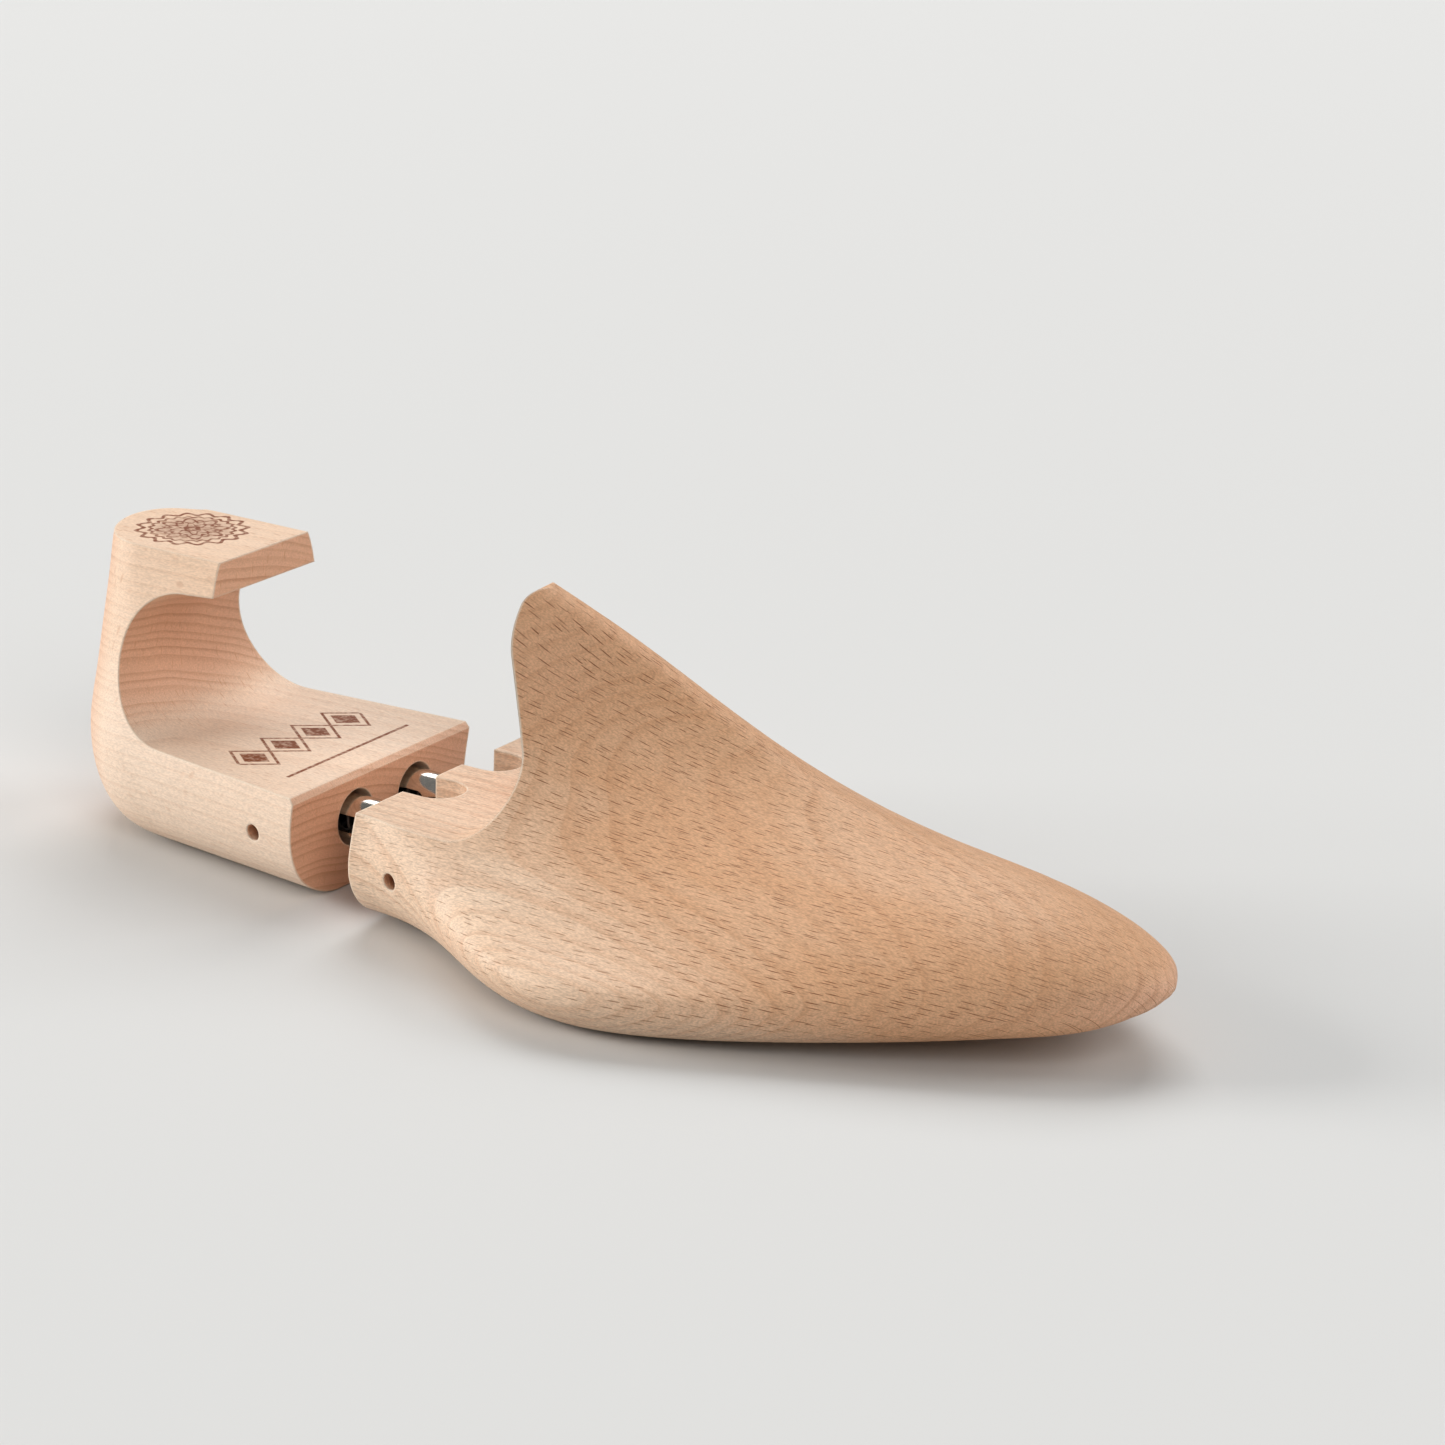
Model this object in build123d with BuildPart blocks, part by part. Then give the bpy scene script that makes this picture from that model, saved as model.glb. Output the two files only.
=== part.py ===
from build123d import *

import math
import os

# A two-part shoe tree of solid beech for the right shoe, millimetres.
# +X points at the toe, +Y at the inner side of the foot, +Z up. The tree stands on Z = 0 and the
# origin is the middle of the heel block's flat underside.
# Two steel tubes are pinned in the forepart and slide in the heel block. A spring inside each tube
# pushes the two blocks apart, and long slots in the tubes, run through by the heel's cross pin,
# are the stops.

# ---- heel block -------------------------------------------------------------------------------
HEEL_FRONT_X = 33.0        # end-grain front face, the tubes come out of it
ARM_TOP_Z = 26.0           # flat top of the arm, also the finger cavity's floor
CAVITY_R = 17.0            # half-round finger cavity, cut straight across
CAVITY_X = -11.5           # centre line of that half round
HOOK_FRONT_X = -4.0        # front edge of the thumb hook
HOOK_LIFT = 0.6            # the hook's underside rises this much towards its front edge
HEEL_BEVEL = 1.2           # broken edge at the top of the front face

# ---- forepart ---------------------------------------------------------------------------------
GAP = 17.5                 # between the two blocks with the springs relaxed
NECK_REAR_X = HEEL_FRONT_X + GAP
NECK_TOP_Z = 27.2          # flat top of the neck
SADDLE_X = 72.0            # where the neck's flat top turns up into the scoop
SADDLE_R = 12.0            # scoop behind the instep
SADDLE_SKEW = 5.0          # degrees off square, the outer side's end lies nearer the toe
HORN_LEAN = 28.0           # degrees that the scoop runs on past its deepest point
HORN_SLOPE = 19.0          # straight slope from the scoop up towards the tip
HORN_BEND_R = 20.0         # bend from the slope to the upright tip
HORN_NOSE_R = 2.8          # rounding from the upright tip to the ridge
HORN_NOSE_TURN = 114.0     # degrees turned by that rounding, past level and on down the ridge
CLEAR_Z = 110.0            # above everything, for cuts that are open at the top
TONGUE_SLOT_R = 6.2        # round-ended open slots over the tubes
TONGUE_SLOT_END_X = 62.0

# ---- tubes ------------------------------------------------------------------------------------
TUBE_YS = (-10.7, 11.7)    # axes of the outer and the inner tube
TUBE_Z = 15.4
TUBE_R = 5.25
TUBE_BORE_R = 4.4
TUBE_REAR_X = -4.0
TUBE_FRONT_X = 86.0
TRAVEL = 16.0              # how far the blocks close
GUIDE_R = TUBE_R + 0.06    # heel bore that the tube slides in
GUIDE_END_X = TUBE_REAR_X - TRAVEL - 3.0
MOUTH_R = 6.6              # wider mouth of the heel's bores
MOUTH_DEPTH = 9.0
SEAT_R = TUBE_R + 0.02     # forepart bore that the tube is pinned in
SEAT_END_X = TUBE_FRONT_X + 0.5

# ---- cross pins and springs -------------------------------------------------------------------
PIN_R = 1.9
PIN_HOLE_R = PIN_R + 0.02
PIN_SLOT_R = PIN_R + 0.15  # half the width of the long slots in the tubes
HEEL_PIN_X = 21.0
HEEL_PIN_LENGTH = 52.0
FORE_PIN_X = 63.0
FORE_PIN_LENGTH = 58.0
SPRING_MEAN_R = 3.5
SPRING_WIRE_R = 0.5
SPRING_TURNS = 12
SPRING_END_GAP = 0.1

# Plan outlines of the heel block from the sole to the top of the hook:
# z, rearmost x and its y, x where the sides start to close in, outer and inner side's y there,
# outer and inner side's y at the front face
HEEL_LEVELS = [
    (0.0, -29.5, 3.0, -13.0, -12.5, 15.5, -17.0, 16.0),
    (1.2, -34.8, 3.0, -14.0, -17.8, 21.0, -22.8, 21.8),
    (4.0, -39.0, 3.2, -14.5, -22.2, 25.4, -28.2, 26.2),
    (9.0, -43.2, 3.5, -15.0, -25.4, 28.6, -32.6, 29.5),
    (16.0, -46.4, 3.8, -15.0, -27.0, 29.8, -34.6, 31.0),
    (26.0, -48.2, 4.2, -15.5, -25.8, 29.2, -33.4, 33.0),
    (36.0, -47.5, 4.8, -18.0, -22.4, 27.4, -30.0, 31.0),
    (48.0, -46.4, 5.6, -22.5, -18.4, 24.2, -24.0, 27.0),
    (60.0, -45.0, 6.4, -26.0, -15.2, 21.4, -16.0, 23.2),
    (65.0, -44.6, 6.7, -27.2, -14.0, 20.4, -14.2, 21.5),
    (68.4, -44.4, 7.0, -28.0, -12.9, 19.3, -12.3, 19.5),
]
HEEL_ROUND_STEPS = 4       # points from the side to the rearmost point

# Cross-sections of the forepart from the neck to the toe:
# x, outer side y, inner side y, sole z, height of the widest line above the sole, ridge y,
# ridge z, rounding of the sole's edge, fullness of the outer and of the inner flank
FORE_STATIONS = [
    (46.0, -37.4, 35.5, 1.6, 14.0, 2.0, 86.5, 17.0, 1.45, 1.6),
    (60.0, -37.8, 34.6, 1.4, 14.0, 3.0, 80.5, 16.0, 1.42, 1.6),
    (75.0, -42.4, 34.2, 1.0, 13.0, 4.5, 73.45, 15.0, 1.25, 1.7),
    (90.0, -50.4, 35.4, 0.7, 12.0, 7.0, 65.5, 13.0, 1.02, 1.8),
    (105.0, -57.0, 38.0, 0.6, 11.5, 8.5, 57.5, 12.0, 0.94, 1.75),
    (122.0, -58.4, 41.0, 0.6, 11.0, 9.0, 49.5, 11.0, 0.96, 1.6),
    (143.0, -51.8, 42.6, 1.2, 10.0, 7.0, 41.6, 10.0, 1.1, 1.6),
    (165.0, -41.4, 41.2, 2.8, 9.0, 5.0, 36.2, 8.5, 1.3, 1.65),
    (187.0, -30.0, 37.6, 5.0, 8.0, 4.5, 32.6, 7.5, 1.55, 1.75),
    (205.0, -20.2, 31.6, 7.3, 7.2, 5.5, 28.8, 6.8, 1.75, 1.8),
    (217.0, -12.0, 24.6, 9.4, 6.0, 6.5, 24.6, 5.6, 1.9, 1.9),
    (224.0, -4.0, 17.4, 12.2, 4.2, 7.0, 20.8, 3.6, 2.0, 2.0),
    (227.0, 2.2, 11.2, 14.6, 2.2, 7.0, 18.4, 1.6, 2.0, 2.0),
    (228.0, 5.6, 8.4, 16.0, 0.6, 7.0, 17.0, 0.5, 2.0, 2.0),
]
FLANK_STEPS = 5            # points from the widest line to the ridge
SOLE_CROWN = 0.6           # the sole lies this much lower than its edges
CROWN_SHARE = 0.15         # but at most this share of the height of the widest line
SOLE_SHARES = (0.15, 0.4, 0.6, 0.85)    # points across the sole, from its inner to its outer edge

os.makedirs("parts", exist_ok=True)


def rear_quarter(rear_x, rear_y, side_x, side_y):
    """Quarter of the heel's round back in plan, from the side to just short of its rearmost point."""
    points = []
    for step in range(HEEL_ROUND_STEPS):
        angle = math.radians(90.0 * step / HEEL_ROUND_STEPS)
        x = side_x + (rear_x - side_x) * math.sin(angle)
        y = rear_y + (side_y - rear_y) * math.cos(angle)
        points.append((x, y))
    return points


def flank(side_y, sole_z, widest, ridge_y, ridge_z, edge, fullness):
    """Half of a forepart section, from the sole's edge round the side to just short of the ridge."""
    inward = 1.0 if side_y < ridge_y else -1.0
    corner = 1.0 - math.sqrt(0.5)
    widest_z = sole_z + widest
    crown = min(SOLE_CROWN, CROWN_SHARE * widest)
    points = [
        (side_y + inward * edge, sole_z + crown),
        (side_y + inward * edge * corner, sole_z + widest * corner),
    ]
    for step in range(FLANK_STEPS):
        angle = math.radians(90.0 * step / FLANK_STEPS)
        out = math.cos(angle) ** (2.0 / fullness)
        rise = math.sin(angle) ** (2.0 / fullness)
        points.append((ridge_y + (side_y - ridge_y) * out, widest_z + (ridge_z - widest_z) * rise))
    return points


# ---- heel_block -------------------------------------------------------------------------------
with BuildPart() as heel_block:
    for z, rear_x, rear_y, side_x, outer_y, inner_y, outer_front_y, inner_front_y in HEEL_LEVELS:
        with BuildSketch(Plane.XY.offset(z)):
            with BuildLine():
                outer_side = rear_quarter(rear_x, rear_y, side_x, outer_y)
                inner_side = rear_quarter(rear_x, rear_y, side_x, inner_y)
                round_back = outer_side + [(rear_x, rear_y)] + inner_side[::-1]
                outer_line = Line((HEEL_FRONT_X, outer_front_y), (side_x, outer_y))
                inner_line = Line((side_x, inner_y), (HEEL_FRONT_X, inner_front_y))
                Spline(round_back, tangents=[outer_line % 1, inner_line % 0])
                Line(inner_line @ 1, outer_line @ 0)
            make_face()
    loft()

    # finger cavity and the open space over the arm, in side view
    hook_z = ARM_TOP_Z + 2.0 * CAVITY_R
    clear_x = HEEL_FRONT_X + 20.0
    with BuildSketch(Plane.XZ):
        with BuildLine():
            ThreePointArc(
                (CAVITY_X, ARM_TOP_Z),
                (CAVITY_X - CAVITY_R, ARM_TOP_Z + CAVITY_R),
                (CAVITY_X, hook_z),
            )
            Polyline(
                (CAVITY_X, hook_z),
                (HOOK_FRONT_X, hook_z + HOOK_LIFT),
                (HOOK_FRONT_X, CLEAR_Z),
                (clear_x, CLEAR_Z),
                (clear_x, ARM_TOP_Z),
                (CAVITY_X, ARM_TOP_Z),
            )
        make_face()
    extrude(amount=80.0, both=True, mode=Mode.SUBTRACT)

    # broken edge along the top of the front face
    front_face = heel_block.faces().filter_by(Axis.X).sort_by(Axis.X)[-1]
    chamfer(front_face.edges().sort_by(Axis.Z)[-1], length=HEEL_BEVEL)

    # bores that the tubes slide in, with their wider mouths
    for axis_y in TUBE_YS:
        with Locations(Plane(origin=(HEEL_FRONT_X, axis_y, TUBE_Z), z_dir=(1, 0, 0))):
            CounterBoreHole(
                radius=GUIDE_R,
                counter_bore_radius=MOUTH_R,
                counter_bore_depth=MOUTH_DEPTH,
                depth=HEEL_FRONT_X - GUIDE_END_X,
            )

    # hole for the cross pin, right through from side to side
    with Locations(Plane(origin=(HEEL_PIN_X, 0.0, TUBE_Z), z_dir=(0, -1, 0))):
        Hole(radius=PIN_HOLE_R)
heel_block.part.label = "heel_block"
export_step(heel_block.part, "parts/heel_block.step")

# ---- fore_block -------------------------------------------------------------------------------
with BuildPart() as fore_block:
    for x, outer_y, inner_y, sole_z, widest, ridge_y, ridge_z, edge, *fullness in FORE_STATIONS:
        with BuildSketch(Plane.YZ.offset(x)):
            outer = flank(outer_y, sole_z, widest, ridge_y, ridge_z, edge, fullness[0])
            inner = flank(inner_y, sole_z, widest, ridge_y, ridge_z, edge, fullness[1])
            sole_width = inner[0][0] - outer[0][0]
            sole = [(inner[0][0] - share * sole_width, sole_z) for share in SOLE_SHARES]
            with BuildLine():
                Spline(outer + [(ridge_y, ridge_z)] + inner[::-1] + sole, periodic=True)
            make_face()
    loft()

    # square rear face of the neck
    split(bisect_by=Plane(origin=(NECK_REAR_X, 0.0, 0.0), z_dir=(1, 0, 0)), keep=Keep.TOP)

    # neck's flat top and the scoop behind the instep, in side view
    skew = math.radians(SADDLE_SKEW)
    side_view = Plane(
        origin=(SADDLE_X, 0.0, 0.0),
        x_dir=(math.cos(skew), math.sin(skew), 0.0),
        z_dir=(math.sin(skew), -math.cos(skew), 0.0),
    )
    rear_clear_x = NECK_REAR_X - SADDLE_X - 20.0
    with BuildSketch(side_view):
        with BuildLine():
            scoop = JernArc((0.0, NECK_TOP_Z), (1.0, 0.0), SADDLE_R, 90.0 + HORN_LEAN)
            slope = Line(scoop @ 1, scoop @ 1 + HORN_SLOPE * (scoop % 1))
            bend = JernArc(slope @ 1, slope % 1, HORN_BEND_R, -HORN_LEAN)
            nose = JernArc(bend @ 1, bend % 1, HORN_NOSE_R, -HORN_NOSE_TURN)
            Polyline(
                nose @ 1,
                ((nose @ 1).X, CLEAR_Z),
                (rear_clear_x, CLEAR_Z),
                (rear_clear_x, NECK_TOP_Z),
                (0.0, NECK_TOP_Z),
            )
        make_face()
    extrude(amount=100.0, both=True, mode=Mode.SUBTRACT)

    # open slots over the tubes, which leave three tongues
    slot_length = 2.0 * (TONGUE_SLOT_END_X - NECK_REAR_X)
    for axis_y in TUBE_YS:
        with BuildSketch(Plane.XY.offset(TUBE_Z)):
            with Locations((NECK_REAR_X, axis_y)):
                SlotOverall(slot_length, 2.0 * TONGUE_SLOT_R)
        extrude(amount=NECK_TOP_Z, mode=Mode.SUBTRACT)

    # seats of the two tubes
    for axis_y in TUBE_YS:
        with Locations(Plane(origin=(NECK_REAR_X, axis_y, TUBE_Z), z_dir=(-1, 0, 0))):
            Hole(radius=SEAT_R, depth=SEAT_END_X - NECK_REAR_X)

    # hole for the cross pin
    with Locations(Plane(origin=(FORE_PIN_X, 0.0, TUBE_Z), z_dir=(0, -1, 0))):
        Hole(radius=PIN_HOLE_R)
fore_block.part.label = "fore_block"
export_step(fore_block.part, "parts/fore_block.step")

# ---- tubes and springs, one of each on the outer and on the inner side of the foot --------------
for axis_y, foot_side in zip(TUBE_YS, ("lateral", "medial")):
    with BuildPart() as tube:
        with BuildSketch(Plane(origin=(TUBE_REAR_X, axis_y, TUBE_Z), z_dir=(1, 0, 0))):
            Circle(TUBE_R)
            Circle(TUBE_BORE_R, mode=Mode.SUBTRACT)
        extrude(amount=TUBE_FRONT_X - TUBE_REAR_X)
        # long slot for the heel's cross pin, through both walls
        with BuildSketch(Plane.XZ.offset(-axis_y)):
            with Locations((HEEL_PIN_X + TRAVEL / 2.0, TUBE_Z)):
                SlotCenterToCenter(TRAVEL, 2.0 * PIN_SLOT_R)
        extrude(amount=2.0 * TUBE_R, both=True, mode=Mode.SUBTRACT)
        with Locations(Plane(origin=(FORE_PIN_X, axis_y, TUBE_Z), z_dir=(0, -1, 0))):
            Hole(radius=PIN_HOLE_R)
    tube.part.label = f"tube_{foot_side}"
    export_step(tube.part, f"parts/tube_{foot_side}.step")

    spring_start_x = HEEL_PIN_X + PIN_R + SPRING_END_GAP + SPRING_WIRE_R
    spring_end_x = FORE_PIN_X - PIN_R - SPRING_END_GAP - SPRING_WIRE_R
    with BuildPart() as spring:
        with BuildLine():
            coil = Helix(
                pitch=(spring_end_x - spring_start_x) / SPRING_TURNS,
                height=spring_end_x - spring_start_x,
                radius=SPRING_MEAN_R,
                center=(spring_start_x, axis_y, TUBE_Z),
                direction=(1, 0, 0),
            )
        with BuildSketch(Plane(origin=coil @ 0, z_dir=coil % 0)):
            Circle(SPRING_WIRE_R)
        sweep(is_frenet=True)
    spring.part.label = f"spring_{foot_side}"
    export_step(spring.part, f"parts/spring_{foot_side}.step")

# ---- cross pins ---------------------------------------------------------------------------------
for block, pin_x, pin_length in (
    ("heel", HEEL_PIN_X, HEEL_PIN_LENGTH),
    ("fore", FORE_PIN_X, FORE_PIN_LENGTH),
):
    with BuildPart() as pin:
        with BuildSketch(Plane(origin=(pin_x, 0.0, TUBE_Z), z_dir=(0, -1, 0))):
            Circle(PIN_R)
        extrude(amount=pin_length / 2.0, both=True)
    pin.part.label = f"{block}_pin"
    export_step(pin.part, f"parts/{block}_pin.step")
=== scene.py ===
import bpy
from mathutils import Matrix, Vector


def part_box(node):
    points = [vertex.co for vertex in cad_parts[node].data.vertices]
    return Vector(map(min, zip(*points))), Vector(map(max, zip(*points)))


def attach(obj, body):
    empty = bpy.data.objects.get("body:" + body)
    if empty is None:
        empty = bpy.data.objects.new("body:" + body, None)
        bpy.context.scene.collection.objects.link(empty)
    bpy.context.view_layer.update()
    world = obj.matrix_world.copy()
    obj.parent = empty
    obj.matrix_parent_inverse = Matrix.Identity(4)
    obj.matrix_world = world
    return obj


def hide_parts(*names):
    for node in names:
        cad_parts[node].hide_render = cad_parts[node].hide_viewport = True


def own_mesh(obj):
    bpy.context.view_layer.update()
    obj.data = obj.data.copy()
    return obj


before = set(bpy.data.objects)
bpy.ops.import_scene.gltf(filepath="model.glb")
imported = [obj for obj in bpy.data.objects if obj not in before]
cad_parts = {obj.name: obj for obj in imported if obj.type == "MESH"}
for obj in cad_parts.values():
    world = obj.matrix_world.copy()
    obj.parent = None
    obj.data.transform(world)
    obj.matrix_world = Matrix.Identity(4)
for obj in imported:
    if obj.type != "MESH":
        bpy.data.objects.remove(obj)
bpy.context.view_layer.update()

# A shoe tree of raw beech with plated tubes, seen from the toe's outer side and from a little above.
# Metres, +X towards the toe, +Y towards the inner side of the foot, +Z up. Lengths inside the
# materials are millimetres, measured from the frame's origin.

MM_PER_M = 1000.0
NOISE_RANGE = (0.3, 0.7)        # most values of a noise texture lie between these

# ---- colours, sRGB 0 to 255 -------------------------------------------------------------------
HEEL_PALE = (232, 210, 190)
HEEL_TAN = (228, 198, 172)
HEEL_RAY = (198, 152, 120)
FORE_PALE = (228, 202, 178)
FORE_TAN = (212, 169, 134)
FORE_RAY = (124, 76, 42)
END_GRAIN = (218, 176, 148)
END_RING = (168, 120, 88)
SIDE_RING = (190, 142, 106)
BURN = (130, 74, 44)
# painted highlight laid along rounded edges
EDGE_HIGHLIGHT = (255, 240, 220)
PLATING = (226, 221, 213)
SPRING_STEEL = (96, 92, 88)
PIN_STEEL = (84, 72, 62)
FLOOR = (214, 214, 213)

# ---- burnt ornaments, millimetres -----------------------------------------------------------------
ARM_TOP = 26.0
HOOK_TOP = MM_PER_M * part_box("heel_block")[1].z
TOP_GAP = 0.1                   # how far from a top face its ornament still shows
CHAIN_X = 9.0                   # middle line of the chain of lozenges on the arm
CHAIN_HALF_LENGTH = 22.5
LOZENGE_HALF_WIDTH = 7.0
LOZENGE_PITCH = 11.25
CHAIN_LINE = 0.55
CORE_INSET = (4.4, 5.2)         # a lozenge's solid core starts this many line widths inside it
THIN_LINE_X = 22.8
THIN_LINE_FADE = (0.3, 0.6)
ROSETTE_MIDDLE = (-26.0, 4.5)
ROSETTE_RADIUS = 12.0
ROSETTE_SCORCH = 0.45
WORN_RANGE = (0.3, 0.6)         # noise values over which a mark goes from worn to fully burnt
WORN_STRENGTH = 0.55
# share of the radius, height of the waves, number of waves, width of the line
ROSETTE_RINGS = (
    (1.0, 0.07, 16, 0.6),
    (0.8, 0.04, 24, 0.45),
    (0.56, 0.24, 8, 0.6),
    (0.48, -0.2, 8, 0.5),
    (0.3, 0.3, 8, 0.5),
    (0.12, 0.2, 4, 0.8),
)


def srgb(colour):
    """Linear RGBA of an sRGB colour given as 0 to 255."""
    linear = []
    for level in colour:
        share = level / 255.0
        linear.append(share / 12.92 if share <= 0.04045 else ((share + 0.055) / 1.055) ** 2.4)
    return (*linear, 1.0)


class Shader:
    """One material's node tree, with short calls that add a node and return its output."""

    def __init__(self, name):
        self.material = bpy.data.materials.new(name)
        self.material.use_nodes = True
        self.tree = self.material.node_tree
        self.tree.nodes.clear()

    def feed(self, socket, value):
        if isinstance(value, bpy.types.NodeSocket):
            self.tree.links.new(value, socket)
        else:
            socket.default_value = value

    def node(self, kind, inputs, **settings):
        made = self.tree.nodes.new("ShaderNode" + kind)
        for key, value in settings.items():
            setattr(made, key, value)
        for key, value in inputs.items():
            self.feed(made.inputs[key], value)
        return made

    def math(self, operation, *values):
        made = self.node("Math", dict(enumerate(values)), operation=operation)
        return made.outputs[0]

    def vector(self, operation, *values):
        made = self.node("VectorMath", dict(enumerate(values)), operation=operation)
        return made.outputs["Value" if operation in ("LENGTH", "DOT_PRODUCT") else "Vector"]

    def remap(self, value, low, high, to_low=0.0, to_high=1.0):
        """Smooth step of value from low..high to to_low..to_high."""
        inputs = {"Value": value, "From Min": low, "From Max": high, "To Min": to_low, "To Max": to_high}
        return self.node("MapRange", inputs, interpolation_type="SMOOTHSTEP").outputs["Result"]

    def noise(self, vector, scale, detail=2.0, output="Fac"):
        inputs = {"Vector": vector, "Scale": scale, "Detail": detail}
        return self.node("TexNoise", inputs).outputs[output]

    def mix(self, factor, a, b):
        made = self.node("Mix", {0: factor, 6: a, 7: b}, data_type="RGBA")
        return made.outputs[2]

    def principled(self, inputs):
        surface = self.node("BsdfPrincipled", inputs)
        self.node("OutputMaterial", {"Surface": surface.outputs[0]})
        return self.material


def burnt_line(shader, gap, width):
    """1 where gap is well inside a line of that width, fading out over its edges."""
    return shader.remap(gap, width * 0.6, width * 1.4, 1.0, 0.0)


def rosette(shader, x, y):
    """Burnt mark of wavy rings round a point on a scorched ground, 1 on its lines."""
    across = shader.math("SUBTRACT", x, ROSETTE_MIDDLE[0])
    along = shader.math("SUBTRACT", y, ROSETTE_MIDDLE[1])
    square = shader.math(
        "ADD", shader.math("MULTIPLY", across, across), shader.math("MULTIPLY", along, along))
    radius = shader.math("SQRT", square)
    direction = shader.math("ARCTAN2", along, across)
    marks = 0.0
    for share, wave, waves, width in ROSETTE_RINGS:
        swing = shader.math("COSINE", shader.math("MULTIPLY", direction, waves))
        swing = shader.math("MULTIPLY", swing, wave)
        wanted = shader.math("MULTIPLY", shader.math("ADD", swing, 1.0), ROSETTE_RADIUS * share)
        gap = shader.math("ABSOLUTE", shader.math("SUBTRACT", radius, wanted))
        marks = shader.math("MAXIMUM", marks, burnt_line(shader, gap, width))
    scorched = shader.remap(
        radius, 0.5 * ROSETTE_RADIUS, 0.95 * ROSETTE_RADIUS, ROSETTE_SCORCH, 0.0)
    return shader.math("MAXIMUM", marks, scorched)


def lozenges(shader, x, y):
    """Burnt chain of lozenges with solid cores across the arm, 1 on its lines."""
    inside = shader.math("LESS_THAN", shader.math("ABSOLUTE", y), CHAIN_HALF_LENGTH)
    step = shader.math("PINGPONG", y, LOZENGE_PITCH / 2.0)
    slope = shader.math("MULTIPLY", step, 2.0 * LOZENGE_HALF_WIDTH / LOZENGE_PITCH)
    off = shader.math("ABSOLUTE", shader.math("SUBTRACT", x, CHAIN_X))
    gap = shader.math("ABSOLUTE", shader.math("SUBTRACT", off, slope))
    line = burnt_line(shader, gap, CHAIN_LINE)
    depth = shader.math("SUBTRACT", slope, off)
    core = shader.remap(depth, *(inset * CHAIN_LINE for inset in CORE_INSET))
    return shader.math("MULTIPLY", shader.math("MAXIMUM", line, core), inside)


def ornaments(shader, place):
    """The burnt marks on the arm's and the hook's top faces, with uneven strength."""
    point = shader.node("SeparateXYZ", {"Vector": place}).outputs
    on_hook = shader.math("GREATER_THAN", point["Z"], HOOK_TOP - TOP_GAP)
    arm_off = shader.math("ABSOLUTE", shader.math("SUBTRACT", point["Z"], ARM_TOP))
    on_arm = shader.math("LESS_THAN", arm_off, TOP_GAP)
    chain = lozenges(shader, point["X"], point["Y"])
    thin_line = shader.math("ABSOLUTE", shader.math("SUBTRACT", point["X"], THIN_LINE_X))
    thin_line = shader.remap(thin_line, *THIN_LINE_FADE, 1.0, 0.0)
    inside = shader.math("LESS_THAN", shader.math("ABSOLUTE", point["Y"]), CHAIN_HALF_LENGTH)
    thin_line = shader.math("MULTIPLY", thin_line, inside)
    arm_marks = shader.math("MULTIPLY", shader.math("MAXIMUM", chain, thin_line), on_arm)
    hook_marks = shader.math("MULTIPLY", rosette(shader, point["X"], point["Y"]), on_hook)
    burnt = shader.math("MAXIMUM", arm_marks, hook_marks)
    worn = shader.noise(place, 0.9, 3.0)
    return shader.math("MULTIPLY", burnt, shader.remap(worn, *WORN_RANGE, WORN_STRENGTH, 1.0))


# ---- beech, millimetres unless stated ---------------------------------------------------------------
GRAIN_TILT = 0.02                       # radians by which the grain leans from X
DRIFT_SCALE = (0.007, 0.022, 0.022)     # noise steps per millimetre, slow along the grain
FIBRE_SCALE = (0.12, 1.8, 1.8)
PORE_SCALE = (1.0, 3.4, 3.4)
CLOUD_SCALE = (0.014, 0.045, 0.045)
RING_SPREAD = 2.2                       # how unevenly the rings are spaced, in ring widths
LATE_WOOD = (0.35, 0.93)                # share of a ring over which its dark wood builds up
LATE_END = (0.95, 1.0)                  # and over which it stops
FAINT_RING = 0.25                       # strength of the faintest rings
STAGGER = 0.618                         # how far neighbouring columns of flecks are shifted
FLECK_RANDOMNESS = 0.9
FLECK_EDGE = (0.5, 1.1)                 # where a fleck fades, in its half sizes
FLECK_CHANCE = (0.1, 0.6, 0.3, 1.0)     # random value, from and to, and the strengths it gives
FLECK_FACE = (0.5, 1.0, 1.0, 0.4)       # flecks are fainter on faces that the rays lie in
FLECK_ON_PALE, FLECK_ON_TAN = 0.55, 0.95
END_GRAIN_FACE = (0.35, 0.95)           # how squarely a face cuts the grain
CLOUDINESS = 0.2
EDGE_RADIUS_M = 0.0008
EDGE_HIGHLIGHT_TURN = (0.8, 0.99)                 # cosine of the angle that an edge turns its normal by, over which the painted edge highlight comes in
FLECK_DEPTH = -0.6                      # in pore heights
BUMP_STRENGTH = 0.25
BUMP_DISTANCE_M = 0.00015
WOOD_ROUGHNESS = (0.5, 0.62)


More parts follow.
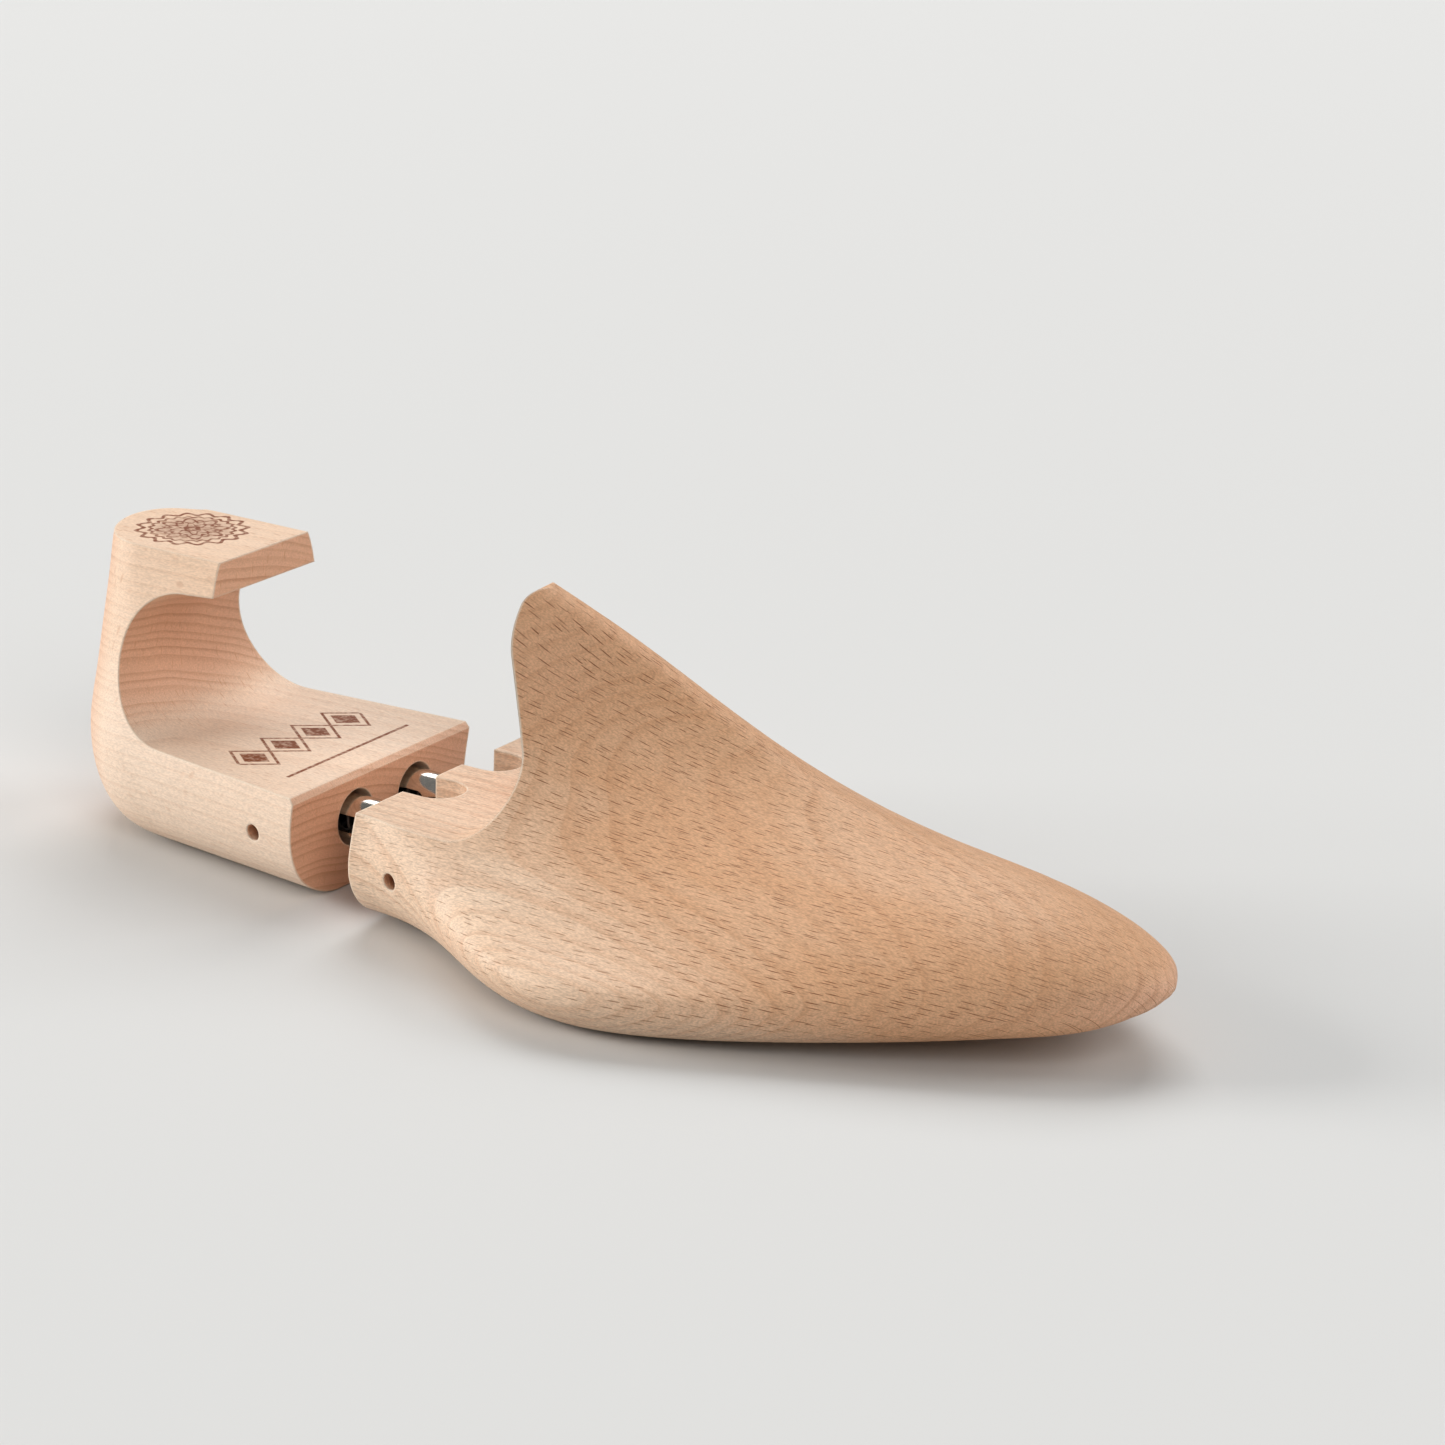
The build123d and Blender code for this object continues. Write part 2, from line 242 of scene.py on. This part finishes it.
def beech(name, pale, tan, fleck_colour, cell, ray, pith, ring_width, tan_line, bend,
          ring_shares, unevenness, shift, with_marks=False):
    """Raw beech with its grain along X. cell and ray are the spacing and the half sizes of the dark
    ray flecks along the grain, round the tree and outwards. pith is the tree's centre line in Y and
    Z, followed by the usual distance from it. tan_line is a direction and the two distances
    along it between which the wood turns from pale to tan. bend is how far the rings wander.
    ring_shares are the rings' strength on the sides and on end grain, unevenness that of the fibres
    and of the pores."""
    s = Shader(name)
    coordinates = s.node("TexCoord", {}).outputs
    place = s.vector("MULTIPLY", coordinates["Object"], (MM_PER_M,) * 3)
    mapping = {"Vector": place, "Location": (shift, 0.0, 0.0), "Rotation": (0.0, GRAIN_TILT, 0.0)}
    grain = s.node("Mapping", mapping).outputs[0]

    # growth rings round the pith, drifting slowly along the grain
    slow = s.vector("MULTIPLY", grain, DRIFT_SCALE)
    drift = s.vector("SUBTRACT", s.noise(slow, 1.0, 2.0, "Color"), (0.5, 0.5, 0.5))
    drift = s.vector("MULTIPLY", drift, (0.0, bend, bend))
    bent = s.vector("ADD", grain, drift)
    pith_y, pith_z, usual_radius = pith
    from_pith = s.vector("SUBTRACT", bent, (0.0, pith_y, pith_z))
    radius = s.vector("LENGTH", s.vector("MULTIPLY", from_pith, (0.0, 1.0, 1.0)))
    uneven = s.noise(s.node("CombineXYZ", {"X": radius}).outputs[0], 0.16, 2.0)
    count = s.math("ADD", s.math("DIVIDE", radius, ring_width), s.math("MULTIPLY", uneven, RING_SPREAD))
    part = s.math("FRACT", count)
    late = s.math("MULTIPLY", s.remap(part, *LATE_WOOD), s.remap(part, *LATE_END, 1.0, 0.0))
    strength = s.noise(s.node("CombineXYZ", {"X": radius}).outputs[0], 0.45, 1.0)
    ring = s.math("MULTIPLY", late, s.remap(strength, *NOISE_RANGE, FAINT_RING, 1.0))

    # ray flecks: thin lenses that stand along the radius, cut as dashes, flakes or dots
    tree = s.node("SeparateXYZ", {"Vector": from_pith}).outputs
    angle = s.math("ARCTAN2", tree["Y"], tree["Z"])
    arc = s.math("MULTIPLY", angle, usual_radius)
    stagger = s.math("MULTIPLY", arc, STAGGER * cell[0] / cell[1])
    along = s.math("ADD", tree["X"], stagger)
    polar = s.node("CombineXYZ", {"X": along, "Y": arc, "Z": radius}).outputs[0]
    scaled = s.vector("DIVIDE", polar, cell)
    voronoi = s.node("TexVoronoi", {"Vector": scaled, "Scale": 1.0, "Randomness": FLECK_RANDOMNESS})
    away = s.vector("SUBTRACT", scaled, voronoi.outputs["Position"])
    stretch = tuple(size / half for size, half in zip(cell, ray))
    fleck_distance = s.vector("LENGTH", s.vector("MULTIPLY", away, stretch))
    chance = s.node("SeparateColor", {"Color": voronoi.outputs["Color"]}).outputs[0]
    fleck = s.remap(fleck_distance, *FLECK_EDGE, 1.0, 0.0)
    fleck = s.math("MULTIPLY", fleck, s.remap(chance, *FLECK_CHANCE))
    normal = s.node("SeparateXYZ", {"Vector": coordinates["Normal"]}).outputs
    sideways = s.math("SUBTRACT", s.math("MULTIPLY", normal["Y"], s.math("COSINE", angle)),
                      s.math("MULTIPLY", normal["Z"], s.math("SINE", angle)))
    fleck = s.math("MULTIPLY", fleck, s.remap(s.math("ABSOLUTE", sideways), *FLECK_FACE))

    # fibres and fine pores
    fibre = s.noise(s.vector("MULTIPLY", grain, FIBRE_SCALE), 1.0, 3.0)
    pores = s.noise(s.vector("MULTIPLY", grain, PORE_SCALE), 1.0, 2.0)
    clouds = s.noise(s.vector("MULTIPLY", grain, CLOUD_SCALE), 1.0, 3.0)

    # pale to tan on the sides, turning tan further along tan_line; on the forepart this darkens the
    # upper horn, partly the wood's own tone and partly painted shade; end grain is darker and redder,
    # and shows its rings
    end = s.remap(s.math("ABSOLUTE", normal["X"]), *END_GRAIN_FACE)
    along_line = s.vector("DOT_PRODUCT", place, tan_line[:3])
    cloudiness = s.remap(clouds, *NOISE_RANGE, -CLOUDINESS, CLOUDINESS)
    tan_share = s.math("ADD", s.remap(along_line, *tan_line[3:]), cloudiness)
    side_share, end_share = ring_shares
    side_colour = s.mix(tan_share, srgb(pale), srgb(tan))
    side_colour = s.mix(s.math("MULTIPLY", ring, side_share), side_colour, srgb(SIDE_RING))
    colour = s.mix(end, side_colour, srgb(END_GRAIN))
    end_ring = s.math("MULTIPLY", s.math("MULTIPLY", ring, end), end_share)
    colour = s.mix(end_ring, colour, srgb(END_RING))
    fibres, speckle = unevenness
    shade = s.math("ADD", s.remap(fibre, *NOISE_RANGE, -fibres, fibres),
                   s.remap(pores, *NOISE_RANGE, -speckle, speckle))
    colour = s.vector("MULTIPLY", colour, s.node("CombineXYZ", {
        axis: s.math("ADD", shade, 1.0) for axis in "XYZ"}).outputs[0])
    fleck_strength = s.math("MULTIPLY", fleck, s.remap(tan_share, 0.0, 1.0, FLECK_ON_PALE, FLECK_ON_TAN))
    colour = s.mix(fleck_strength, colour, srgb(fleck_colour))

    if with_marks:
        colour = s.mix(ornaments(s, place), colour, srgb(BURN))

    # painted highlight: rounded edges get a lighter colour where the bevel turns the normal away from
    # the true one; the bevel normal also feeds the bump
    edge = s.node("Bevel", {"Radius": EDGE_RADIUS_M}, samples=4)
    true_normal = s.node("NewGeometry", {}).outputs["Normal"]
    unturned = s.vector("DOT_PRODUCT", edge.outputs[0], true_normal)
    colour = s.mix(s.remap(unturned, *EDGE_HIGHLIGHT_TURN, 1.0, 0.0), colour, srgb(EDGE_HIGHLIGHT))

    height = s.math("ADD", s.math("MULTIPLY", pores, 0.5), s.math("MULTIPLY", fleck, FLECK_DEPTH))
    bump = s.node("Bump", {
        "Height": height,
        "Normal": edge.outputs[0],
        "Strength": BUMP_STRENGTH,
        "Distance": BUMP_DISTANCE_M,
    })
    return s.principled({
        "Base Color": colour,
        "Roughness": s.remap(fibre, *NOISE_RANGE, *WOOD_ROUGHNESS),
        "Normal": bump.outputs[0],
        "IOR": 1.45,
        "Specular IOR Level": 0.35,
    })


SCRATCH_SCALE = (0.08, 2.5, 2.5)        # noise steps per millimetre
SCRATCH_DISTANCE_M = 0.00005
DULLED = 0.9                            # brightness of the duller patches
ROUGHER = 1.5                           # roughness of the scratches against the rest


def metal(name, colour, roughness, scratches):
    """Drawn metal with faint scratches along X and slightly duller patches."""
    s = Shader(name)
    place = s.vector("MULTIPLY", s.node("TexCoord", {}).outputs["Object"], (MM_PER_M,) * 3)
    drawn = s.noise(s.vector("MULTIPLY", place, SCRATCH_SCALE), 1.0, 3.0)
    blotch = s.noise(place, 0.25, 3.0)
    dull = tuple(DULLED * level for level in colour)
    tint = s.mix(s.remap(blotch, 0.35, 0.65), srgb(colour), srgb(dull))
    bump = s.node("Bump", {"Height": drawn, "Strength": scratches, "Distance": SCRATCH_DISTANCE_M})
    return s.principled({
        "Base Color": tint,
        "Metallic": 1.0,
        "Roughness": s.remap(drawn, *NOISE_RANGE, roughness, roughness * ROUGHER),
        "Normal": bump.outputs[0],
    })


# ---- materials --------------------------------------------------------------------------------
heel_wood = beech(
    "heel_beech", HEEL_PALE, HEEL_TAN, HEEL_RAY,
    cell=(4.6, 1.3, 4.0), ray=(1.3, 0.13, 1.6),
    pith=(-40.0, -140.0, 160.0), ring_width=2.1, bend=6.0, ring_shares=(0.18, 0.5),
    tan_line=(0.0, 0.0, 1.0, 0.0, 80.0), unevenness=(0.03, 0.09), shift=400.0, with_marks=True,
)
# the forepart turns tan towards the top of the horn and the toe: partly the wood's own tone, partly
# painted shade of the upper horn
fore_wood = beech(
    "fore_beech", FORE_PALE, FORE_TAN, FORE_RAY,
    cell=(5.8, 1.3, 5.2), ray=(1.9, 0.12, 7.8),
    pith=(32.0, -22.0, 90.0), ring_width=2.5, bend=10.0, ring_shares=(0.32, 0.45),
    tan_line=(0.32, 0.0, 1.0, 44.0, 76.0), unevenness=(0.05, 0.13), shift=0.0,
)
tube_metal = metal("plated_tube", PLATING, roughness=0.1, scratches=0.1)
spring_metal = metal("spring_wire", SPRING_STEEL, roughness=0.45, scratches=0.3)
pin_metal = metal("pin_steel", PIN_STEEL, roughness=0.5, scratches=0.4)

NODE_MATERIALS = {
    "heel_block": heel_wood,
    "fore_block": fore_wood,
    "tube_lateral": tube_metal,
    "tube_medial": tube_metal,
    "spring_lateral": spring_metal,
    "spring_medial": spring_metal,
    "heel_pin": pin_metal,
    "fore_pin": pin_metal,
}
for node, material in NODE_MATERIALS.items():
    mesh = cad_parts[node].data
    mesh.materials.clear()
    mesh.materials.append(material)

# ---- springs, each copied into a coil of its own that rides with the heel; the CAD springs are hidden ---
for side in ("lateral", "medial"):
    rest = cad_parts["spring_" + side]
    coil = bpy.data.objects.new("coil_" + side, rest.data.copy())
    bpy.context.scene.collection.objects.link(coil)
    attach(coil, "heel")
    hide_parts("spring_" + side)
    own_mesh(coil)

# ---- floor --------------------------------------------------------------------------------------
FLOOR_HALF = 6
FLOOR_DROP = 0.0002     # keeps the floor clear of the sole's flat faces
floor_corners = [
    (-FLOOR_HALF, -FLOOR_HALF, 0), (FLOOR_HALF, -FLOOR_HALF, 0),
    (FLOOR_HALF, FLOOR_HALF, 0), (-FLOOR_HALF, FLOOR_HALF, 0),
]
floor_mesh = bpy.data.meshes.new("floor")
floor_mesh.from_pydata(floor_corners, [], [(0, 1, 2, 3)])
floor = bpy.data.objects.new("floor", floor_mesh)
floor.location = (0.1, 0.0, -FLOOR_DROP)
bpy.context.scene.collection.objects.link(floor)
floor_shader = Shader("floor")
floor_mesh.materials.append(floor_shader.principled({
    "Base Color": srgb(FLOOR),
    "Roughness": 1.0,
    "Specular IOR Level": 0.0,
}))

# ---- light --------------------------------------------------------------------------------------
TARGET = Vector((0.09, -0.005, 0.03))
LIGHT_DISTANCE = 8.0    # far enough to light the floor evenly
NEUTRAL = (1.0, 1.0, 1.0)
WARM = (1.0, 0.99, 0.97)


def softbox(name, direction, size, power, colour):
    """Square area light that faces the shoe tree from a direction. Metres and watts."""
    data = bpy.data.lights.new(name, "AREA")
    data.shape = "SQUARE"
    data.size = size
    data.energy = power
    data.color = colour
    lamp = bpy.data.objects.new(name, data)
    lamp.location = TARGET + Vector(direction).normalized() * LIGHT_DISTANCE
    lamp.rotation_euler = (TARGET - lamp.location).to_track_quat("-Z", "Y").to_euler()
    bpy.context.scene.collection.objects.link(lamp)


softbox("key", (-0.9, -0.42, 0.27), size=3.5, power=480.0, colour=WARM)
softbox("rear", (-0.3, 0.55, 0.78), size=5.5, power=300.0, colour=NEUTRAL)
softbox("front", (0.6, -0.5, 0.62), size=4.2, power=158.0, colour=WARM)
softbox("rim", (0.6, 0.65, 0.45), size=4.2, power=160.0, colour=NEUTRAL)

world = bpy.data.worlds.new("studio")
world.use_nodes = True
background = world.node_tree.nodes["Background"]
background.inputs["Color"].default_value = (0.95, 0.95, 0.95, 1.0)
background.inputs["Strength"].default_value = 0.22
bpy.context.scene.world = world
bpy.context.scene.view_settings.view_transform = "Standard"
bpy.context.scene.view_settings.look = "Medium High Contrast"

# ---- camera -------------------------------------------------------------------------------------
# Place and direction come from fitting the photograph's straight and parallel edges.
CAMERA_PLACE = (0.5484, -0.6943, 0.3349)
RIGHT = Vector((0.84542, 0.53299, 0.03458))
UP = Vector((-0.20163, 0.25852, 0.94473))
FOCAL_LENGTH_MM = 100.8
camera_data = bpy.data.cameras.new("camera")
camera_data.lens = FOCAL_LENGTH_MM
camera_data.sensor_width = 36.0
camera_data.clip_start = 0.01
camera_data.clip_end = 50.0
camera = bpy.data.objects.new("camera", camera_data)
turned = Matrix((RIGHT, UP, RIGHT.cross(UP))).transposed().to_4x4()
camera.matrix_world = Matrix.Translation(CAMERA_PLACE) @ turned
bpy.context.scene.collection.objects.link(camera)
bpy.context.scene.camera = camera
